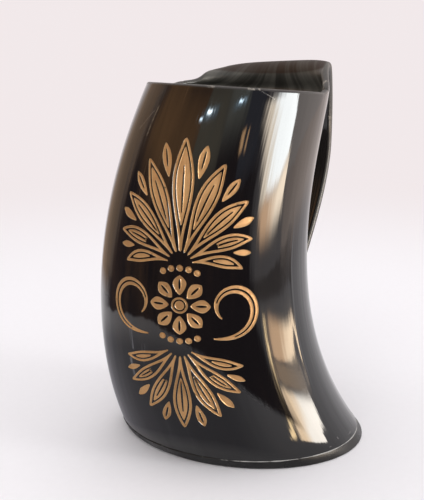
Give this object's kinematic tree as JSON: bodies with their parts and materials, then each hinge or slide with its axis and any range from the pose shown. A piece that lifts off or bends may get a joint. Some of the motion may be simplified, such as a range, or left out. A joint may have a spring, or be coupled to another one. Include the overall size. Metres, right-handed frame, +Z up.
{
  "type": "horn drinking cup",
  "caption": "Tall dark horn tankard, wider at the foot, with a broad strap handle bent from its own rim, a glued base plate and a gilded leaf ornament.",
  "frame": {"origin": "middle of the oval foot, on the plane the cup stands on", "axes": "+Z up, +X towards the strap handle, -X towards the gilded front"},
  "size_m": [0.1232, 0.1071, 0.1607],
  "materials": {
    "horn": "polished black horn with faint dark brown streaks",
    "horn_plate": "polished black horn",
    "glue": "dry resin glue, uneven",
    "pin_horn": "polished brown horn",
    "gilding": "satin gold paint over scored horn"
  },
  "bodies": {
    "root": {"horn_body": "horn", "handle_strap": "horn", "base_plate": "horn_plate", "base_glue": "glue", "strap_pins": "pin_horn", "gilt_upper_palmette": "gilding", "gilt_lower_palmette": "gilding", "gilt_rosette": "gilding", "gilt_scrolls": "gilding", "gilt_beads": "gilding"}
  },
  "joints": []
}
